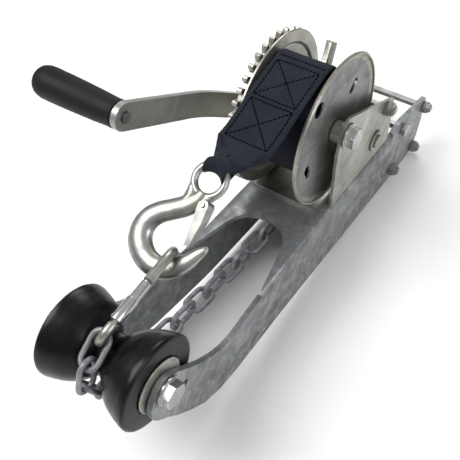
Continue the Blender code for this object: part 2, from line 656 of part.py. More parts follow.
# ---- Roller -----------------------------------------------------------------
def make_roller():
    half, bore = ROLLER_HALF, ROLLER_BOLT_R + 0.35
    end = [(33, half), (37.5, half), (39.2, half - 0.8), (ROLLER_END_R, half - 2), (39.3, 38),
           (38.2, 34), (36.3, 28), (33.8, 22), (30.0, 16), (26.0, 11.5), (22.6, 8),
           (19.6, 4.8), (ROLLER_WAIST_R, 2.6)]
    profile = end + [(r, -y) for r, y in reversed(end)]
    profile += [(bore, -half), (bore, half)]
    turned("bow_roller", profile, ROLLER, RUBBER, steps=32)
    face = ARM_HALF_WIDTH + GAP / MM
    inner = ARM_HALF_WIDTH - SHEET
    hex_bolt("roller_bolt", 0, 0, -face - 0.4, face + 13, ROLLER_BOLT_R, 19, ROLLER, BRIGHT,
             head=7, washer=2.2)
    hex_nut("roller_nut", 0, 0, face + 0.6, face + 11, ROLLER_BOLT_R + 0.35, 19, ROLLER, ZINC)
    for name, side in (("roller_washer_near", -1), ("roller_washer_far", 1)):
        y0, y1 = side * (ROLLER_HALF + 0.3), side * (inner - 0.9)
        ring(name, ROLLER_BOLT_R + 0.35, 23, min(y0, y1), max(y0, y1), ROLLER, ZINC, steps=32)


# ---- Strap lead -------------------------------------------------------------
DIP = math.radians(HOOK_DIP)
HOOK_WAY = Vector((-math.cos(DIP), 0, -math.sin(DIP)))     # from the eye to the bowl
EYE = Vector((EYE_CENTRE[0], 0, EYE_CENTRE[1]))
EYE_TOP = EYE - HOOK_WAY * EYE_RING_R                      # wire the strap loops over


def make_strap_lead():
    """Two plies from the top of the coil to a loop round the hook's eye."""
    centre = Vector((EYE_TOP.x, EYE_TOP.z))
    line = [Vector(point) for point in STRAP_LINE]
    upper, lower = [], []
    for i, here in enumerate(line):
        way = (line[min(i + 1, len(line) - 1)] - line[max(i - 1, 0)]).normalized()
        up = Vector((way.y, -way.x)) * STRAP_PLIES / 2
        upper.append(here + up)
        lower.append(here - up)
    outline = upper + arc(*centre, 7.0, 85, 275, 9) + lower[::-1]
    lead = slab("strap_lead", [outline], STRAP_WIDTH - 0.8, 0, ROOT, WEBBING)
    for name, side in (("near", -1), ("far", 1)):
        wedge = [(-97, side * 26.5), (-130, side * 12), (-150, side * 8.5),
                 (-150, side * 40), (-97, side * 40)]
        mesh = slab_mesh([wedge], 110)
        mesh.transform(Matrix.Rotation(math.radians(-90), 4, "X"))
        mesh.transform(Matrix.Translation((0, 0, 50 * MM)))
        boolean(lead, store("strap_wedge_" + name, mesh, ROOT))
    # Room for the eye to swing in the loop
    for i, lean in enumerate((-12, 0, 12)):
        room = eye_ring(f"strap_eye_room_{i}", EYE_WIRE_R + 0.5, ROOT)
        swing = Matrix.Translation(EYE_TOP * MM)
        swing = swing @ Matrix.Rotation(math.radians(lean), 4, "Y")
        swing = swing @ Matrix.Translation(-EYE_TOP * MM)
        room.data.transform(swing @ HOOK_FRAME)
        boolean(lead, room)


def plane_matrix(origin, along, across):
    """Frame whose X is across, Y is along and Z is their normal."""
    normal = across.cross(along)
    rot = Matrix((across, along, normal)).transposed().to_4x4()
    return Matrix.Translation(origin * MM) @ rot


HOOK_FRAME = plane_matrix(EYE, HOOK_WAY, Vector((0, 1, 0)))


def eye_ring(name, radius, parent, material=None):
    """The eye's wire, drawn about its own centre."""
    points = []
    for i in range(24):
        angle = 2 * math.pi * i / 24
        points.append((EYE_RING_R * math.cos(angle), EYE_RING_R * math.sin(angle), 0))
    return wire(name, points, radius, parent, material, cyclic=True)


# ---- Hook -------------------------------------------------------------------
HOOK = empty("hook_axis", EYE_TOP.x, EYE_TOP.z, ROOT)
HOOK_LOCAL = Matrix.Translation(-EYE_TOP * MM) @ HOOK_FRAME
LATCH_PIVOT = Vector((-6.9, 19.4, 0))
SNAP_POINT = Vector((1.0, 60.0, 0))


def hook_line():
    """(across, along, radius) of the forged bar from the shank round to the point."""
    return [(0.5, 12.5, 5.5), (2.5, 19, 7.2), (9, 25.5, 7.6), (17.6, 32.1, 8.0),
            (26.5, 38.8, 8.8), (32.6, 47, 9.6), (34.2, 56.5, 10.0), (31.0, 66, 10.2),
            (22.9, 73.6, 9.8), (13, 77, 9.4), (3.5, 76.2, 9.0), (-5, 72.2, 8.2),
            (-12.6, 64, 6.8), (-18.2, 54.8, 5.0), (-21.6, 49.5, 3.4), (-23.2, 47.0, 1.8)]


def make_hook():
    line = hook_line()
    body = wire("hook_body", [(a, b, 0) for a, b, _ in line], 10.0, HOOK, BRIGHT,
                radii=[r for _, _, r in line])
    body.data.transform(Matrix.Diagonal((1, 1, 0.66, 1)))
    ringed = eye_ring("hook_eye", EYE_WIRE_R, HOOK)
    for obj in (body, ringed):
        obj.data.transform(HOOK_LOCAL)
    boolean(body, ringed, "UNION")
    x, y, _ = LATCH_PIVOT
    boss = bar("hook_boss", 14, 4.2, (x + 1.0, y - 0.3, -2.4), (x + 1.0, y - 0.3, 2.4), HOOK)
    boss.data.transform(HOOK_LOCAL)
    boolean(body, boss, "UNION")
    bore = bar("hook_rivet_bore", 12, 2.0, (x, y, -9), (x, y, 9), HOOK)
    bore.data.transform(HOOK_LOCAL)
    boolean(body, bore)


def make_latch():
    """A sprung keeper folded from sheet: two cheeks on the rivet and a web to the point."""
    x, y, _ = LATCH_PIVOT
    rivet = bar("latch_rivet", 12, 1.7, (x, y, -7.6), (x, y, 7.6), HOOK, ZINC)
    rivet.data.transform(HOOK_LOCAL)
    local = HOOK_LOCAL @ Matrix.Translation(LATCH_PIVOT * MM)
    outline = [(-4.3, -1.5), (-2.5, -4), (1.5, -4.2), (4.3, -1.0), (4.3, 3.5), (2.6, 12),
               (1.0, 33.0), (-3.0, 32.2), (-5.0, 12)]
    inside = [(-2.9, -9), (9, -9), (9, 24), (-1.6, 31), (-3.9, 12)]
    latch = flat_plate("hook_latch", outline, 13.2, LATCH, ZINC)
    boolean(latch, flat_plate("latch_inside", inside, 10.8, LATCH))
    boolean(latch, bar("latch_bore", 12, 2.05, (0, 0, -9), (0, 0, 9), LATCH))
    # The cheeks close in towards the point
    for name in ("hook_latch", "latch_inside"):
        for vert in bpy.data.objects[name].data.vertices:
            vert.co.z *= 1 - 0.013 * (vert.co.y / MM + 4)
    for name in ("hook_latch", "latch_inside", "latch_bore"):
        bpy.data.objects[name].data.transform(LATCH_TURN)


def flat_plate(name, outline, thickness, parent, material=None):
    """A plate drawn in the local X-Y plane."""
    mesh = slab_mesh([outline], thickness)
    mesh.transform(Matrix.Rotation(math.radians(-90), 4, "X"))
    return store(name, mesh, parent, material)


# ---- Chain ------------------------------------------------------------------
def chain_places():
    """Centre, direction and lie of each link, from the snap back to the anchor bolt."""
    axis = Vector((ROLLER_AXIS[0], 0, ROLLER_AXIS[1]))
    turn = 2 * math.asin(CHAIN_PITCH / 2 / CHAIN_WRAP_R)
    points = []
    for i in range(4):
        a = math.radians(CHAIN_START_ANGLE) + i * turn
        points.append(axis + Vector((math.cos(a), 0, math.sin(a))) * CHAIN_WRAP_R)
    points.insert(0, points[0] - (points[0] - SNAP_LOW).normalized() * CHAIN_PITCH)
    # The run back to the anchor hangs in a shallow curve, one pitch at a time
    run = Vector((CHAIN_ANCHOR[0], 0, CHAIN_ANCHOR[1])) - points[-1]
    steps = CHAIN_LINKS - 4
    origin = points[-1].copy()
    for i in range(1, steps + 1):
        share = i / steps
        points.append(origin + run * share - Vector((0, 0, 20 * share * (1 - share))))
    return [((a + b) / 2, (b - a).normalized(), i % 2 == 0)
            for i, (a, b) in enumerate(zip(points[:-1], points[1:]))]


def make_chain():
    bend = CHAIN_HALF_WIDTH - CHAIN_WIRE_R
    straight = CHAIN_INSIDE / 2 + CHAIN_WIRE_R - bend
    outline = arc(0, straight, bend, 0, 180, 7) + arc(0, -straight, bend, 180, 360, 7)
    for i, (centre, way, flat) in enumerate(chain_places()):
        across = Vector((0, 1, 0)) if flat else Vector((0, 1, 0)).cross(way)
        frame = plane_matrix(centre, way, across)
        link = wire(f"chain_link_{i + 1:02d}", [(x, y, 0) for x, y in outline], CHAIN_WIRE_R,
                    ROOT, CHAIN_GREY, cyclic=True)
        link.data.transform(frame)


# ---- Snap -------------------------------------------------------------------
# Drawn in its own plane: X away from the gate, Y from the hook to the chain
SNAP_TOP = EYE + Vector((0, 1, 0)) * SNAP_POINT.x + HOOK_WAY * SNAP_POINT.y
SNAP_LOW = Vector((-283.5, 0.0, -10.8))
SNAP_WAY = (SNAP_LOW - SNAP_TOP).normalized()
SNAP_LENGTH = (SNAP_LOW - SNAP_TOP).length
SNAP_LEAN = Vector((0.09, 0.444, -0.891))
SNAP_SIDE = (SNAP_LEAN - SNAP_WAY * SNAP_WAY.dot(SNAP_LEAN)).normalized()
SNAP_TURN = plane_matrix(Vector((0, 0, 0)), SNAP_WAY, SNAP_SIDE)
SNAP = empty("snap_axis", SNAP_TOP.x, SNAP_TOP.z, ROOT, SNAP_TOP.y)
GATE_PIN = Vector((-13.6, SNAP_LENGTH - 17.5, 0))
GATE_PLACE = SNAP_TURN.to_3x3() @ GATE_PIN
GATE = empty("gate_axis", GATE_PLACE.x, GATE_PLACE.z, SNAP, GATE_PLACE.y)
LATCH_PLACE = HOOK_LOCAL @ (LATCH_PIVOT * MM) / MM
LATCH = empty("latch_axis", LATCH_PLACE.x, LATCH_PLACE.z, HOOK, LATCH_PLACE.y)
LATCH_TURN = HOOK_LOCAL.to_3x3().to_4x4()


def make_snap():
    end = SNAP_LENGTH
    top = arc(6, 17, 17, 185, 355, 11)
    low = arc(-4, end - 10, 10, 15, 168, 9)
    path = [(-11.9, GATE_PIN.y - GATE_LENGTH - 1.2), (-11.2, 20)] + top + low
    path += [(GATE_PIN.x, GATE_PIN.y + 5.6)]
    body = wire("snap_body", [(x, y, 0) for x, y in path], SNAP_WIRE_R, SNAP, BRIGHT)
    tongue = flat_plate("snap_tongue", [(GATE_PIN.x - 3.4, GATE_PIN.y + 7.5), (GATE_PIN.x - 3.4,
                        GATE_PIN.y - 3), (GATE_PIN.x + 3.4, GATE_PIN.y - 3),
                        (GATE_PIN.x + 3.4, GATE_PIN.y + 7.5)], 3.0, SNAP)
    boolean(body, tongue, "UNION")
    pin_ends = ((GATE_PIN.x, GATE_PIN.y, -5.2), (GATE_PIN.x, GATE_PIN.y, 5.2))
    bore = bar("snap_pin_bore", 12, 1.6, (pin_ends[0][0], pin_ends[0][1], -9),
               (pin_ends[1][0], pin_ends[1][1], 9), SNAP)
    boolean(body, bore)
    pin = bar("gate_pin", 12, 1.3, *pin_ends, SNAP, ZINC)
    for obj in (body, tongue, bore, pin):
        obj.data.transform(SNAP_TURN)
    gate = bar("snap_gate", 16, GATE_R, (0, 2.5, 0), (1.6, -GATE_LENGTH, 0), GATE, BRIGHT)
    fork = [(-8, 9), (-8, -5.2), (8, -5.2), (8, 9)]
    slot = flat_plate("gate_slot", fork, 3.6, GATE)
    boolean(gate, slot)
    hole = bar("gate_bore", 12, 1.6, (0, 0, -9), (0, 0, 9), GATE)
    boolean(gate, hole)
    for obj in (gate, slot, hole):
        obj.data.transform(SNAP_TURN)


make_bracket()
make_frame()
make_post_bolts()
make_base_bolts()
make_chain_stud()
make_axle_and_shaft_fittings()
make_drum()
make_crank()
make_pawl()
make_roller()
make_strap_lead()
make_hook()
make_latch()
make_snap()
make_chain()
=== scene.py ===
"""Finished look of the boat trailer winch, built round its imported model.

Lengths below are millimetres unless a name says otherwise.  The drum's axis
gives the main places: a point (x, y, z) counts from there.
"""

import json
import math

import bmesh
import bpy
from mathutils import Matrix, Vector

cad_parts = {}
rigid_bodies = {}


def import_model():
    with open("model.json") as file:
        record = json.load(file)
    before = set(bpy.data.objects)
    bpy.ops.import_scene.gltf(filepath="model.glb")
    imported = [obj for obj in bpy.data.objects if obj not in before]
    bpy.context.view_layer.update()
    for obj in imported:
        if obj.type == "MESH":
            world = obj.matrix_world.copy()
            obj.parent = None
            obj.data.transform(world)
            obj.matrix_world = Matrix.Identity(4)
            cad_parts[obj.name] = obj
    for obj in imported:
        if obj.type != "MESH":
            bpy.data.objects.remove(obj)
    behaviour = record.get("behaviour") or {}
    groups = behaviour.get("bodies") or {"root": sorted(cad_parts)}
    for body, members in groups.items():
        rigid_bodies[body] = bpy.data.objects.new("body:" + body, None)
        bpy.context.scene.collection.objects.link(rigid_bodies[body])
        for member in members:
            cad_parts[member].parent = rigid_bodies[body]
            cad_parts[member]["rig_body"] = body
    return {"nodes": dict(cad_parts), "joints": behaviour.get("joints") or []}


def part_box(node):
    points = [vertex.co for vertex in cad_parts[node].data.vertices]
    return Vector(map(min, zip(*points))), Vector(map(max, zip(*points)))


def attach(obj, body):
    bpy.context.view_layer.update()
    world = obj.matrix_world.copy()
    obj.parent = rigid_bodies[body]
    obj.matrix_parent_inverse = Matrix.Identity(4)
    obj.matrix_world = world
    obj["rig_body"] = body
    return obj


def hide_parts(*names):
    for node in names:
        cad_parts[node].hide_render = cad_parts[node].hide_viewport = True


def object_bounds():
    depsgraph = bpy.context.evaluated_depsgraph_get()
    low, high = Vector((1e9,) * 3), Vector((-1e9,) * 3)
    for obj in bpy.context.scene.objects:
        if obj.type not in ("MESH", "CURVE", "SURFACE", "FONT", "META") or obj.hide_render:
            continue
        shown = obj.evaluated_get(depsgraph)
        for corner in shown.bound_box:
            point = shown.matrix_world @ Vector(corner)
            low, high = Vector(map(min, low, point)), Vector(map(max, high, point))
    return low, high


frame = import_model()
CAD_BOX = [list(corner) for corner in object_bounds()]
NODES = frame["nodes"]
JOINTS = {joint["name"]: joint for joint in frame["joints"]}
MM = 0.001
ALONG_Y = Vector((0, 1, 0))


def axis_point(joint):
    return Vector(JOINTS[joint]["pos_m"])


DRUM = axis_point("drum_spin")


def at(x, y, z, origin=DRUM):
    return origin + Vector((x, y, z)) * MM


# ---- Camera -----------------------------------------------------------------
CAMERA_PLACE = Vector((-0.6148, -0.2322, 0.5174))
CAMERA_AIM = Vector((-0.2874, 0.0033, 0.0731))
CAMERA_ROLL = math.radians(-1.38)
LENS = 53.47


def add_camera():
    data = bpy.data.cameras.new("view")
    data.lens = LENS
    data.sensor_width = 36
    camera = bpy.data.objects.new("view", data)
    bpy.context.scene.collection.objects.link(camera)
    turn = (CAMERA_AIM - CAMERA_PLACE).to_track_quat("-Z", "Y").to_matrix().to_4x4()
    roll = Matrix.Rotation(CAMERA_ROLL, 4, "Z")
    camera.matrix_world = Matrix.Translation(CAMERA_PLACE) @ turn @ roll
    bpy.context.scene.camera = camera


add_camera()


# ---- Materials --------------------------------------------------------------
class Finish:
    """A node material under construction; each method returns an output socket."""

    def __init__(self, name, roughness=0.5, metallic=0.0):
        self.material = bpy.data.materials.new(name)
        self.material.use_nodes = True
        self.tree = self.material.node_tree
        self.shader = self.tree.nodes["Principled BSDF"]
        self.shader.inputs["Roughness"].default_value = roughness
        self.shader.inputs["Metallic"].default_value = metallic

    def node(self, kind, **values):
        made = self.tree.nodes.new(kind)
        for key, value in values.items():
            setattr(made, key, value)
        return made

    def join(self, source, target):
        self.tree.links.new(source, target)

    def coords(self, stretch=(1, 1, 1), turn=(0, 0, 0)):
        place = self.node("ShaderNodeTexCoord")
        mapping = self.node("ShaderNodeMapping")
        mapping.inputs["Scale"].default_value = stretch
        mapping.inputs["Rotation"].default_value = turn
        self.join(place.outputs["Object"], mapping.inputs["Vector"])
        return mapping.outputs["Vector"]

    def cloth_coords(self):
        return self.node("ShaderNodeUVMap", uv_map="cloth").outputs["UV"]

    def noise(self, vector, scale, detail=4.0, rough=0.55, distortion=0.0):
        made = self.node("ShaderNodeTexNoise")
        made.inputs["Scale"].default_value = scale
        made.inputs["Detail"].default_value = detail
        made.inputs["Roughness"].default_value = rough
        made.inputs["Distortion"].default_value = distortion
        self.join(vector, made.inputs["Vector"])
        return made.outputs["Fac"]

    def cells(self, vector, scale):
        made = self.node("ShaderNodeTexVoronoi")
        made.inputs["Scale"].default_value = scale
        self.join(vector, made.inputs["Vector"])
        return made.outputs["Color"]

    def waves(self, vector, scale, direction="X", distortion=0.0):
        made = self.node("ShaderNodeTexWave", bands_direction=direction)
        made.inputs["Scale"].default_value = scale
        made.inputs["Distortion"].default_value = distortion
        self.join(vector, made.inputs["Vector"])
        return made.outputs["Fac"]

    def ramp(self, factor, *stops):
        made = self.node("ShaderNodeValToRGB")
        points = made.color_ramp.elements
        while len(points) < len(stops):
            points.new(0.5)
        for point, (place, colour) in zip(points, stops):
            point.position = place
            point.color = (*colour, 1.0)
        self.join(factor, made.inputs["Fac"])
        return made.outputs["Color"]

    def blend(self, factor, first, second, kind="MIX"):
        made = self.node("ShaderNodeMix", data_type="RGBA", blend_type=kind)
        for socket, value in ((made.inputs["Factor"], factor), (made.inputs["A"], first),
                              (made.inputs["B"], second)):
            self.feed(value, socket)
        return [out for out in made.outputs if out.type == "RGBA"][0]

    def feed(self, value, socket):
        if isinstance(value, bpy.types.NodeSocket):
            self.join(value, socket)
        else:
            socket.default_value = value

    def spread(self, factor, low, high):
        made = self.node("ShaderNodeMapRange")
        made.inputs["From Min"].default_value = 0.3
        made.inputs["From Max"].default_value = 0.7
        made.inputs["To Min"].default_value = low
        made.inputs["To Max"].default_value = high
        self.join(factor, made.inputs["Value"])
        return made.outputs["Result"]

    def times(self, first, second):
        made = self.node("ShaderNodeMath", operation="MULTIPLY")
        self.feed(first, made.inputs[0])
        self.feed(second, made.inputs[1])
        return made.outputs["Value"]

    def colour(self, socket):
        self.join(socket, self.shader.inputs["Base Color"])

    def roughness(self, socket):
        self.join(socket, self.shader.inputs["Roughness"])

    def bump(self, height, depth_mm, strength=1.0):
        made = self.node("ShaderNodeBump")
        made.inputs["Distance"].default_value = depth_mm * MM
        made.inputs["Strength"].default_value = strength
        self.join(height, made.inputs["Height"])
        self.join(made.outputs["Normal"], self.shader.inputs["Normal"])


def galvanised_steel():
    """Hot-dip zinc: grey blotches, faint crystals and a few pale runs."""
    f = Finish("galvanised_steel", metallic=0.72)
    place = f.coords()
    blotch = f.noise(place, 70, 8, 0.65, 0.6)
    broad = f.noise(place, 14, 3, 0.5)
    grain = f.cells(f.coords((1, 1, 0.6)), 210)
    base = f.ramp(blotch, (0.3, (0.09, 0.095, 0.10)), (0.5, (0.20, 0.205, 0.21)),
                  (0.72, (0.40, 0.41, 0.41)))
    base = f.blend(f.spread(broad, 0.0, 0.35), base, (0.46, 0.47, 0.47, 1))
    base = f.blend(0.07, base, grain, "OVERLAY")
    f.colour(base)
    f.roughness(f.spread(blotch, 0.58, 0.36))
    f.bump(f.noise(place, 260, 6), 0.12, 0.5)
    return f.material


def zinc_plate(name="zinc_plate", dark=(0.20, 0.195, 0.17), light=(0.46, 0.45, 0.40),
               roughness=(0.46, 0.3), metallic=0.85):
    """Zinc plated steel with rolled grain, smudges and a faint warm tint."""
    f = Finish(name, metallic=metallic)
    place = f.coords()
    smudge = f.noise(place, 32, 6, 0.6, 0.8)
    streak = f.noise(f.coords((1, 1, 9)), 55, 4, 0.6)
    base = f.ramp(smudge, (0.28, dark), (0.66, light))
    worn = f.ramp(streak, (0.35, dark), (0.65, light))
    f.colour(f.blend(0.35, base, worn))
    f.roughness(f.spread(smudge, *roughness))
    f.bump(f.noise(place, 420, 5), 0.05, 0.4)
    return f.material


def passivated_zinc():
    """Bright plating with patches of pale yellow and blue."""
    f = Finish("passivated_zinc", metallic=0.9)
    place = f.coords()
    patch = f.noise(place, 38, 4, 0.55, 1.2)
    film = f.noise(place, 95, 5, 0.6, 0.5)
    base = f.ramp(patch, (0.3, (0.24, 0.25, 0.26)), (0.5, (0.38, 0.38, 0.35)),
                  (0.68, (0.33, 0.31, 0.23)))
    stain = f.ramp(film, (0.35, (0.14, 0.14, 0.13)), (0.62, (0.42, 0.42, 0.40)))
    f.colour(f.blend(0.4, base, stain))
    f.roughness(f.spread(film, 0.42, 0.28))
    f.bump(f.noise(place, 300, 5), 0.06, 0.5)
    return f.material


def chain_zinc():
    f = Finish("chain_zinc", metallic=0.55)
    place = f.coords()
    cloud = f.noise(place, 120, 6, 0.6)
    f.colour(f.ramp(cloud, (0.3, (0.13, 0.135, 0.145)), (0.7, (0.30, 0.31, 0.325))))
    f.roughness(f.spread(cloud, 0.62, 0.42))
    f.bump(f.noise(place, 500, 4), 0.08, 0.6)
    return f.material


def roller_rubber():
    """Moulded black rubber, lightly scuffed and dusty."""
    f = Finish("roller_rubber")
    place = f.coords()
    scuff = f.noise(f.coords((1, 5, 1)), 60, 7, 0.7, 0.4)
    dust = f.noise(place, 22, 5, 0.6)
    base = f.ramp(scuff, (0.4, (0.0015, 0.0015, 0.0016)), (0.75, (0.004, 0.004, 0.0042)))
    f.colour(f.blend(f.spread(dust, 0.0, 0.25), base, (0.006, 0.006, 0.006, 1)))
    f.roughness(f.spread(scuff, 0.22, 0.38))
    f.shader.inputs["Specular IOR Level"].default_value = 0.22
    f.bump(f.noise(place, 350, 5), 0.06, 0.5)
    return f.material


def grip_plastic():
    f = Finish("grip_plastic")
    place = f.coords()
    grain = f.noise(place, 900, 3, 0.6)
    cloud = f.noise(place, 40, 4)
    f.colour(f.ramp(cloud, (0.3, (0.004, 0.004, 0.0042)), (0.7, (0.008, 0.008, 0.0085))))
    f.roughness(f.spread(cloud, 0.5, 0.64))
    f.bump(grain, 0.08, 0.7)
    f.shader.inputs["Specular IOR Level"].default_value = 0.2
    return f.material


def winch_webbing(name="winch_webbing", dark=(0.003, 0.004, 0.007), light=(0.024, 0.031, 0.048)):
    """Ribbed woven strap: coarse ribs across it, fine yarns along it."""
    f = Finish(name, roughness=0.78)
    place = f.cloth_coords()
    ribs = f.waves(place, 2.6, "X")
    yarns = f.waves(place, 4.4, "Y", 0.3)
    weave = f.times(ribs, yarns)
    wear = f.noise(f.coords(), 60, 6, 0.6)
    base = f.ramp(weave, (0.05, dark), (0.8, light))
    f.colour(f.blend(f.spread(wear, 0.0, 0.35), base, (*light, 1)))
    f.bump(weave, 0.35, 0.9)
    f.shader.inputs["Specular IOR Level"].default_value = 0.15
    f.shader.inputs["Sheen Weight"].default_value = 0.03
    return f.material


def sewing_thread():
    f = Finish("sewing_thread", roughness=0.6)
    twist = f.waves(f.coords((1, 1, 1), (0.4, 0.3, 0.8)), 260, "X")
    f.colour(f.ramp(twist, (0.2, (0.0004, 0.0004, 0.0006)), (0.8, (0.0015, 0.0015, 0.002))))
    f.bump(twist, 0.08, 0.6)
    f.shader.inputs["Specular IOR Level"].default_value = 0.05
    return f.material


def plain_floor():
    f = Finish("plain_floor", roughness=0.9)
    cloud = f.noise(f.coords(), 3, 2)
    f.colour(f.ramp(cloud, (0.3, (0.86, 0.86, 0.86)), (0.7, (0.88, 0.88, 0.88))))
    return f.material


GALVANISED = galvanised_steel()
ZINC = zinc_plate()
# A darker copy of the zinc plate: painted shade for the near drum flange's face, against the
# lighter zinc of its rim and of the far flange; the grip bolt uses it too.
PAINTED_SHADE_ZINC = zinc_plate("flange_zinc_painted_shade", (0.10, 0.105, 0.11), (0.30, 0.30, 0.29),
                       (0.46, 0.32))
ARM_ZINC = zinc_plate("arm_zinc", (0.24, 0.24, 0.23), (0.46, 0.46, 0.43), (0.42, 0.28))
NUT_ZINC = zinc_plate("nut_zinc", (0.18, 0.18, 0.18), (0.40, 0.40, 0.38), (0.48, 0.34))
BOLT_ZINC = zinc_plate("bolt_zinc", (0.28, 0.29, 0.30), (0.52, 0.52, 0.51), (0.32, 0.2), 0.9)
HOOK_ZINC = passivated_zinc()
CHAIN = chain_zinc()
RUBBER = roller_rubber()
GRIP = grip_plastic()
WEBBING = winch_webbing()
THREAD = sewing_thread()


# ---- Making pieces ----------------------------------------------------------
def shade(mesh, angle=32):
    mesh.shade_smooth()
    mesh.set_sharp_from_angle(angle=math.radians(angle))


def finished(bm, name, material, body, *replaced, angle=32, bevel=0.0):
    """Puts a finished bmesh in the scene, riding on its body."""
    mesh = bpy.data.meshes.new(name)
    bm.to_mesh(mesh)
    bm.free()
    mesh.materials.append(material)
    shade(mesh, angle)
    piece = bpy.data.objects.new(name, mesh)
    bpy.context.scene.collection.objects.link(piece)
    if bevel:
        mod = piece.modifiers.new("Edges", "BEVEL")
        mod.width = bevel * MM
        mod.segments = 2
        mod.limit_method = "ANGLE"
        mod.angle_limit = math.radians(30)
        mod.harden_normals = True
    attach(piece, body)
    if replaced:
        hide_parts(*replaced)
    return piece


def eased(node, material, bevel=0.4, name=None):
    """A made part copied with its edges eased, as sheared or forged steel has them."""
    bm = bmesh.new()
    bm.from_mesh(NODES[node].data)
    bmesh.ops.remove_doubles(bm, verts=bm.verts, dist=0.005 * MM)
    bmesh.ops.dissolve_limit(bm, angle_limit=math.radians(0.6), verts=bm.verts, edges=bm.edges)
    return finished(bm, name or node + "_eased", material, NODES[node]["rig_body"], node,
                    bevel=bevel)


def turned_mesh(profile, centre, steps=96):
    """A profile of (radius, y) spun about a Y axis through centre."""
    bm = bmesh.new()
    verts = [bm.verts.new(centre + Vector((r, y, 0)) * MM) for r, y in profile]
    on_axis = min(r for r, _ in profile) < 0.01
    edges = [bm.edges.new(pair) for pair in zip(verts, verts[1:])]
    if not on_axis:
        edges.append(bm.edges.new((verts[-1], verts[0])))
    bmesh.ops.spin(bm, geom=verts + edges, cent=centre, axis=ALONG_Y, angle=2 * math.pi,
                   steps=steps, use_merge=True, use_duplicate=False)
    bmesh.ops.remove_doubles(bm, verts=bm.verts, dist=0.002 * MM)
    bmesh.ops.recalc_face_normals(bm, faces=bm.faces)
    return bm


def turned(name, profile, centre, material, body, *replaced, steps=96, angle=28):
    bm = turned_mesh(profile, centre, steps)
    return finished(bm, name, material, body, *replaced, angle=angle)


def arc(cx, cy, radius, start, end, count):
    step = (end - start) / (count - 1)
    turns = [math.radians(start + i * step) for i in range(count)]
    return [(cx + radius * math.cos(a), cy + radius * math.sin(a)) for a in turns]


def rounded(points, radius, count=4, closed=False):
    """Rounds a profile's corners with a small arc-like curve."""
    out = []
    last = len(points) - 1
    for i, point in enumerate(points):
        if not closed and i in (0, last):
            out.append(point)
            continue
        here = Vector(point)
        before = Vector(points[i - 1])
        after = Vector(points[(i + 1) % len(points)])
        reach = min(radius, (before - here).length * 0.45, (after - here).length * 0.45)
        a = here + (before - here).normalized() * reach
        b = here + (after - here).normalized() * reach
        for k in range(count + 1):
            t = k / count
            out.append(tuple(a * (1 - t) ** 2 + here * 2 * t * (1 - t) + b * t ** 2))
    return out


def spline(points, per_span, closed=False):
    """A smooth curve through the points, with per_span steps between neighbours."""
    size = len(points[0])
    count = len(points)
    out = []
    spans = count if closed else count - 1
    for i in range(spans):
        picks = [i - 1, i, i + 1, i + 2]
        if closed:
            picks = [k % count for k in picks]
        else:
            picks = [min(max(k, 0), count - 1) for k in picks]
        p0, p1, p2, p3 = (points[k] for k in picks)
        for step in range(per_span):
            t = step / per_span
            row = []
            for n in range(size):
                row.append(0.5 * (2 * p1[n] + (p2[n] - p0[n]) * t
                                  + (2 * p0[n] - 5 * p1[n] + 4 * p2[n] - p3[n]) * t * t
                                  + (3 * p1[n] - p0[n] - 3 * p2[n] + p3[n]) * t ** 3))
            out.append(tuple(row))
    if not closed:
        out.append(tuple(points[-1]))
    return out


def swept(places, sides=20, closed=False):
    """A round section carried through the given matrices, whose Z runs along the path."""
    bm = bmesh.new()
    bmesh.ops.create_circle(bm, segments=sides, radius=1.0, matrix=places[0])
    ring = bm.edges[:]
    first = ring
    before = places[0]
    for place in places[1:]:
        grown = bmesh.ops.extrude_edge_only(bm, edges=ring)["geom"]
        verts = [v for v in grown if isinstance(v, bmesh.types.BMVert)]
        ring = [e for e in grown if isinstance(e, bmesh.types.BMEdge)]
        ring = [e for e in ring if all(v in set(verts) for v in e.verts)]
        bmesh.ops.transform(bm, matrix=place @ before.inverted(), verts=verts)
        before = place
    if closed:
        bmesh.ops.bridge_loops(bm, edges=first + ring)
    else:
        bmesh.ops.holes_fill(bm, edges=bm.edges, sides=sides)
    bmesh.ops.recalc_face_normals(bm, faces=bm.faces)
    return bm


def flat_path(points, origin, across, along, flatten=1.0, closed=False):
    """Matrices along a path of (across, along, radius) lying in one plane."""
    normal = across.cross(along)
    count = len(points)
    places = []
    for i, (a, b, radius) in enumerate(points):
        ahead = points[(i + 1) % count] if closed or i < count - 1 else points[i]
        behind = points[i - 1] if closed or i > 0 else points[i]
        way = (across * (ahead[0] - behind[0]) + along * (ahead[1] - behind[1])).normalized()
        side = way.cross(normal)
        turn = Matrix((side * radius * MM, normal * radius * flatten * MM, way * MM)).transposed()
        spot = origin + (across * a + along * b) * MM
        places.append(Matrix.Translation(spot) @ turn.to_4x4())
    return places


# ---- Bracket, frame and fasteners -------------------------------------------
def hard_parts():
    eased("winch_bracket", GALVANISED, 0.7)
    eased("winch_frame", ZINC, 0.45)
    eased("crank_arm", ARM_ZINC, 0.8)
    for node in NODES:
        if node.startswith("post_nut") or node in ("chain_nut", "pawl_nut", "roller_nut"):
            eased(node, NUT_ZINC, 0.5)
        elif node.startswith("post_bolt") or node.startswith("base_bolt"):
            eased(node, BOLT_ZINC if node.endswith("upper_front") else NUT_ZINC, 0.35)
        elif node in ("drum_axle_bolt", "roller_bolt", "crank_nut"):
            eased(node, BOLT_ZINC, 0.5)
        elif node in ("pawl_bolt", "chain_bolt", "drum_axle_nut", "shaft_bush", "crank_shaft"):
            eased(node, ZINC, 0.4)
        elif node == "grip_bolt":
            eased(node, PAINTED_SHADE_ZINC, 0.25)
        elif node == "hook_latch":
            eased(node, HOOK_ZINC, 0.3)
        elif node in ("ratchet_pawl", "pinion", "drum_spacer",
                      "latch_rivet", "gate_pin", "drum_barrel"):
            eased(node, ZINC, 0.25)
    eased("drum_gear", ZINC, 0.3)
    eased("pawl_spring", BOLT_ZINC, 0.0)


